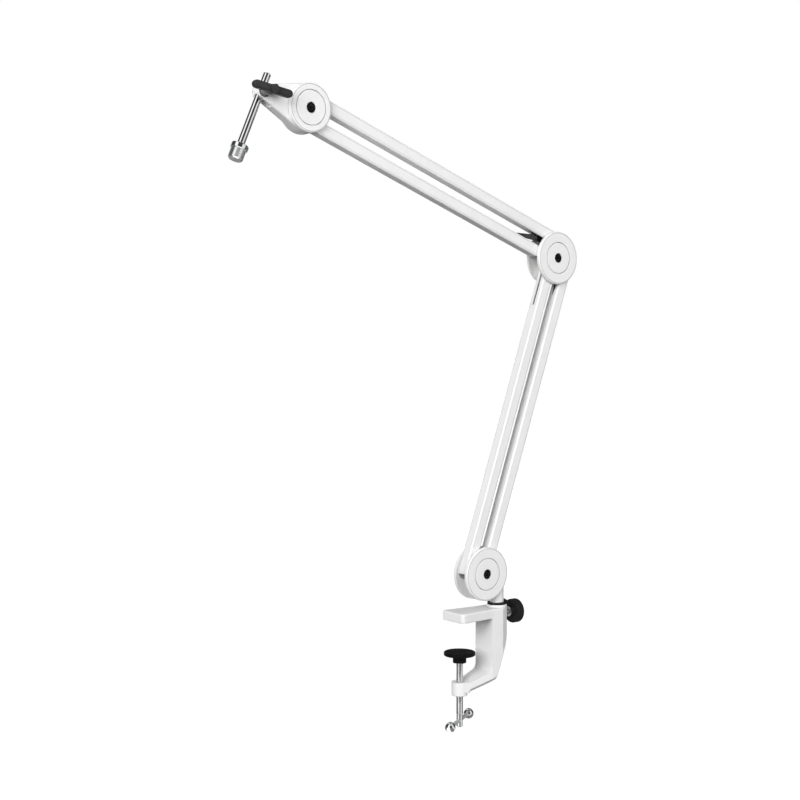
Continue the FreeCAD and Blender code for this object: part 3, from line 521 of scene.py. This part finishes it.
def finishPiece(bm, name, body, material, replaced):
    bmesh.ops.remove_doubles(bm, verts=bm.verts, dist=pieceFinish["mergeWithin"])
    bmesh.ops.recalc_face_normals(bm, faces=bm.faces)
    mesh = bpy.data.meshes.new(name)
    bm.to_mesh(mesh)
    bm.free()
    mesh.materials.append(material)
    piece = bpy.data.objects.new(name, mesh)
    bpy.context.scene.collection.objects.link(piece)
    mesh.shade_smooth()
    mesh.set_sharp_from_angle(angle=math.radians(pieceFinish["sharpAngle"]))
    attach(piece, body)
    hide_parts(replaced)
    return piece


def spinProfile(bm, pairs, segments):
    # turns a chain of (radius, height) pairs about Z into a closed surface
    chain = [bm.verts.new((radius, 0, height)) for radius, height in pairs]
    edges = [bm.edges.new(pair) for pair in zip(chain, chain[1:])]
    bmesh.ops.spin(bm, geom=chain + edges, cent=(0, 0, 0), axis=(0, 0, 1), angle=math.tau,
                   steps=segments, use_merge=True)


threadForm = {
    "heights": (0.0, 0.30, 0.50, 0.80, 1.0),  # shares of the pitch, at root, crest, crest, root, root
    "runIn": 1.5,
    "spareTurns": 3,
    "mergeWithin": 0.01 * mm,
}


def threadRidge(bm, root, crest, pitch, low, high, segments):
    # one thread profile carried round a helix, then cut flat at both ends
    radii = (root, crest, crest, root, root)
    start = low - pitch * threadForm["runIn"]
    chain = [bm.verts.new((r, 0, start + h * pitch)) for r, h in zip(radii, threadForm["heights"])]
    edges = [bm.edges.new(pair) for pair in zip(chain, chain[1:])]
    turns = math.ceil((high - low) / pitch) + threadForm["spareTurns"]
    bmesh.ops.spin(bm, geom=chain + edges, cent=(0, 0, 0), axis=(0, 0, 1), angle=math.tau * turns,
                   steps=segments * turns, dvec=(0, 0, pitch / segments))
    bmesh.ops.remove_doubles(bm, verts=bm.verts, dist=threadForm["mergeWithin"])
    for height, side in ((low, -1), (high, 1)):
        cut = bmesh.ops.bisect_plane(bm, geom=bm.verts[:] + bm.edges[:] + bm.faces[:],
                                     plane_co=(0, 0, height), plane_no=(0, 0, side), clear_outer=True)
        rim = [item for item in cut["geom_cut"] if isinstance(item, bmesh.types.BMEdge)]
        bmesh.ops.holes_fill(bm, edges=rim)


clampScrew = {
    "pitch": 1.25 * mm,
    "root": 3.72 * mm,
    "crest": 4.0 * mm,
    "threadEnd": -107.0 * mm,
    "footRadius": 3.6 * mm,
    "chamfer": 1.0 * mm,
    "neck": 3.2 * mm,
    "padGap": 0.2 * mm,
    "footOverlap": 0.2 * mm,
    "neckOverlap": 0.3 * mm,
    "threadSegments": 40,
    "footSegments": 48,
    "neckSegments": 40,
}


def buildClampScrew(values):
    low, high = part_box("clamp_screw")
    bm = bmesh.new()
    end, shoulder = values["threadEnd"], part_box("pressure_pad")[0].z - values["padGap"]
    threadRidge(bm, values["root"], values["crest"], values["pitch"], end, shoulder, values["threadSegments"])
    foot, chamfer, footTop = values["footRadius"], values["chamfer"], end + values["footOverlap"]
    spinProfile(bm, [(0, low.z), (foot - chamfer, low.z), (foot, low.z + chamfer), (foot, footTop),
                     (0, footTop)], values["footSegments"])
    neck, neckFoot = values["neck"], shoulder - values["neckOverlap"]
    spinProfile(bm, [(0, neckFoot), (neck, neckFoot), (neck, high.z), (0, high.z)], values["neckSegments"])
    return finishPiece(bm, "clampScrewThreaded", "screw", turnedChrome, "clamp_screw")


threadAdapter = {
    "drop": 60.3 * mm,
    "flangeHeight": 5.6 * mm,
    "flangeRadius": 9.1 * mm,
    "bevel": 0.6 * mm,
    "rodHole": 4.05 * mm,
    "threadLength": 11.0 * mm,
    "crest": 7.94 * mm,
    "root": 7.65 * mm,
    "pitch": 0.94 * mm,
    "lip": 1.0 * mm,
    "endDepth": 1.3 * mm,
    "overlap": 0.1 * mm,
    "flatWithin": 0.01 * mm,
    "threadSegments": 72,
    "flangeSegments": 96,
}


def buildThreadAdapter(values):
    pivot = Vector(joints["rod_tilt"]["pos_m"])
    top = -values["drop"]
    under = top - values["flangeHeight"]
    bottom = under - values["threadLength"]
    radius, bevel, hole = values["flangeRadius"], values["bevel"], values["rodHole"]
    root, lip, endTop = values["root"], values["lip"], bottom + values["endDepth"]
    bm = bmesh.new()
    threadRidge(bm, root, values["crest"], values["pitch"], bottom + lip, under + values["overlap"],
                values["threadSegments"])
    spinProfile(bm, [(hole, top), (radius - bevel, top), (radius, top - bevel), (radius, under + bevel),
                     (radius - bevel, under), (hole, under)], values["flangeSegments"])
    spinProfile(bm, [(0, bottom), (root - lip, bottom), (root, bottom + lip), (root, endTop), (0, endTop)],
                values["threadSegments"])
    # the flat end is darker and rougher
    for face in bm.faces:
        if face.calc_center_median().z < bottom + values["flatWithin"]:
            face.material_index = 1
    turn = rodAxis.to_track_quat("Z", "Y").to_matrix().to_4x4()
    bmesh.ops.transform(bm, matrix=Matrix.Translation(pivot) @ turn, verts=bm.verts)
    piece = finishPiece(bm, "threadAdapterCut", "adapter", rodChrome, "thread_adapter")
    piece.data.materials.append(adapterEnd)
    return piece


buildClampScrew(clampScrew)
buildThreadAdapter(threadAdapter)
print("new pieces built")


# studio

studioLook = {
    "floorGap": 14 * mm,
    "floorSize": 12.0,
    "floorColour": (0.14, 0.14, 0.14, 1),
    "floorLift": 0.91,
    "floorMirrored": 0.13,
    "floorRoughness": 0.9,
    "fadeStart": 0.5,
    "fadeEnd": 1.3,
    "sky": (0.27, 0.272, 0.275, 1),
    "room": 0.05,
    "screenSoft": 6,
}

# pale screens that only reflections see: where they stand, how wide they look, how bright they are
screens = {
    "left": {"towards": (-0.95, -0.31, 0.0), "halfAngle": 22, "glow": 1.3},
    "right": {"towards": (0.47, -0.88, 0.0), "halfAngle": 19, "glow": 0.95},
    "back": {"towards": (0.17, 0.98, 0.0), "halfAngle": 18, "glow": 0.9},
}
overhead = {"towards": (0.1, -0.25, 1.0), "halfAngle": 40, "glow": 0.5}


def screenGlow(tree, direction, values, softness):
    facing = vectorMath(tree, "DOT_PRODUCT", direction, Vector(values["towards"]).normalized())
    rim, soft = math.radians(values["halfAngle"]), math.radians(softness)
    return between(tree, facing, 0.0, values["glow"], math.cos(rim + soft), math.cos(rim - soft))


def makeSurroundGroup(look):
    # how bright the studio is all round, by the compass direction alone
    inputs = [("Direction", "NodeSocketVector", (1.0, 0.0, 0.0)), ("Room", "NodeSocketFloat", look["room"])]
    group, start, end = newGroup("studioScreens", inputs, [("Glow", "NodeSocketFloat")])
    level = vectorMath(group, "MULTIPLY", start.outputs["Direction"], (1.0, 1.0, 0.0))
    level = vectorMath(group, "NORMALIZE", level)
    glow = start.outputs["Room"]
    for values in screens.values():
        glow = calc(group, "MAXIMUM", glow, screenGlow(group, level, values, look["screenSoft"]))
    group.links.new(glow, end.inputs["Glow"])
    return group


surroundGroup = makeSurroundGroup(studioLook)


def rayKinds(tree):
    # rays from the camera, and rays from reflections or glass
    light = tree.nodes.new("ShaderNodeLightPath")
    glossy = calc(tree, "MAXIMUM", light.outputs["Is Glossy Ray"], light.outputs["Is Transmission Ray"])
    return light.outputs["Is Camera Ray"], glossy


def makeFloor(look):
    bm = bmesh.new()
    bmesh.ops.create_grid(bm, x_segments=1, y_segments=1, size=look["floorSize"])
    bmesh.ops.translate(bm, verts=bm.verts, vec=(0, 0, cadLow.z - look["floorGap"]))
    mesh = bpy.data.meshes.new("studioFloor")
    bm.to_mesh(mesh)
    bm.free()
    material, tree, shader = newMaterial("floorPaper")
    shader.inputs["Roughness"].default_value = look["floorRoughness"]
    shader.inputs["Specular IOR Level"].default_value = 0.0
    shader.inputs["Base Color"].default_value = look["floorColour"]
    # the camera sees paper that takes the shadow and fades to white far away, reflections a dim one
    place = tree.nodes.new("ShaderNodeTexCoord").outputs["Object"]
    far = vectorMath(tree, "LENGTH", place)
    lift = between(tree, far, look["floorLift"], 1.0, look["fadeStart"], look["fadeEnd"])
    surround = useGroup(tree, surroundGroup, Room=look["floorMirrored"], Direction=place)
    camera, glossy = rayKinds(tree)
    seen = calc(tree, "MULTIPLY", camera, lift)
    mirrored = calc(tree, "MULTIPLY", glossy, surround["Glow"])
    plug(tree, calc(tree, "MAXIMUM", seen, mirrored), shader.inputs["Emission Color"])
    shader.inputs["Emission Strength"].default_value = 1.0
    mesh.materials.append(material)
    floor = bpy.data.objects.new("studioFloor", mesh)
    bpy.context.scene.collection.objects.link(floor)


def makeWorld(look):
    world = bpy.data.worlds.new("studioWorld")
    world.use_nodes = True
    tree = world.node_tree
    background = tree.nodes["Background"]
    direction = tree.nodes.new("ShaderNodeTexCoord").outputs["Generated"]
    # reflections see a dim room with the pale screens in it
    surround = useGroup(tree, surroundGroup, Direction=direction)
    ceiling = screenGlow(tree, direction, overhead, look["screenSoft"])
    mirrored = calc(tree, "MAXIMUM", surround["Glow"], ceiling)
    camera, glossy = rayKinds(tree)
    colour = blendColour(tree, glossy, look["sky"], mirrored)
    colour = blendColour(tree, camera, colour, (1, 1, 1, 1))
    plug(tree, colour, background.inputs["Color"])
    bpy.context.scene.world = world


lamps = {
    "keyLeft": {"at": (-2.75, -1.31, 1.2), "aim": (-0.05, 0, 0.25), "size": 2.0, "power": 103.0},
    "fillRight": {"at": (0.75, -2.8, 0.6), "aim": (-0.05, 0, 0.25), "size": 2.0, "power": 46.0},
    "backRight": {"at": (1.2, 2.75, 0.3), "aim": (-0.05, 0, 0.25), "size": 2.0, "power": 56.0},
}


def placeAimed(item, values):
    item.location = values["at"]
    aim = Vector(values["aim"]) - Vector(values["at"])
    item.rotation_euler = aim.to_track_quat("-Z", "Y").to_euler()
    bpy.context.scene.collection.objects.link(item)


def makeLamp(name, values):
    lamp = bpy.data.lights.new(name, "AREA")
    lamp.energy = values["power"]
    lamp.size = values["size"]
    lampObject = bpy.data.objects.new(name, lamp)
    lampObject.visible_glossy = False  # the screens stand in for it
    placeAimed(lampObject, values)


photoCamera = {
    "at": (-1.08665, -1.28592, 0.32438),
    "aim": (-0.09487, -0.0115, 0.25387),
    "focalPixels": 1490.5,
    "frame": 800,
    "sensor": 36.0,
}


def makeCamera(values):
    camera = bpy.data.cameras.new("photoCamera")
    camera.sensor_width = values["sensor"]
    camera.lens = values["sensor"] * values["focalPixels"] / values["frame"]
    cameraObject = bpy.data.objects.new("photoCamera", camera)
    placeAimed(cameraObject, values)
    bpy.context.scene.camera = cameraObject


makeFloor(studioLook)
makeWorld(studioLook)
for lampName, lampValues in lamps.items():
    makeLamp(lampName, lampValues)
makeCamera(photoCamera)
bpy.context.scene.view_settings.view_transform = "Standard"
print("studio ready")
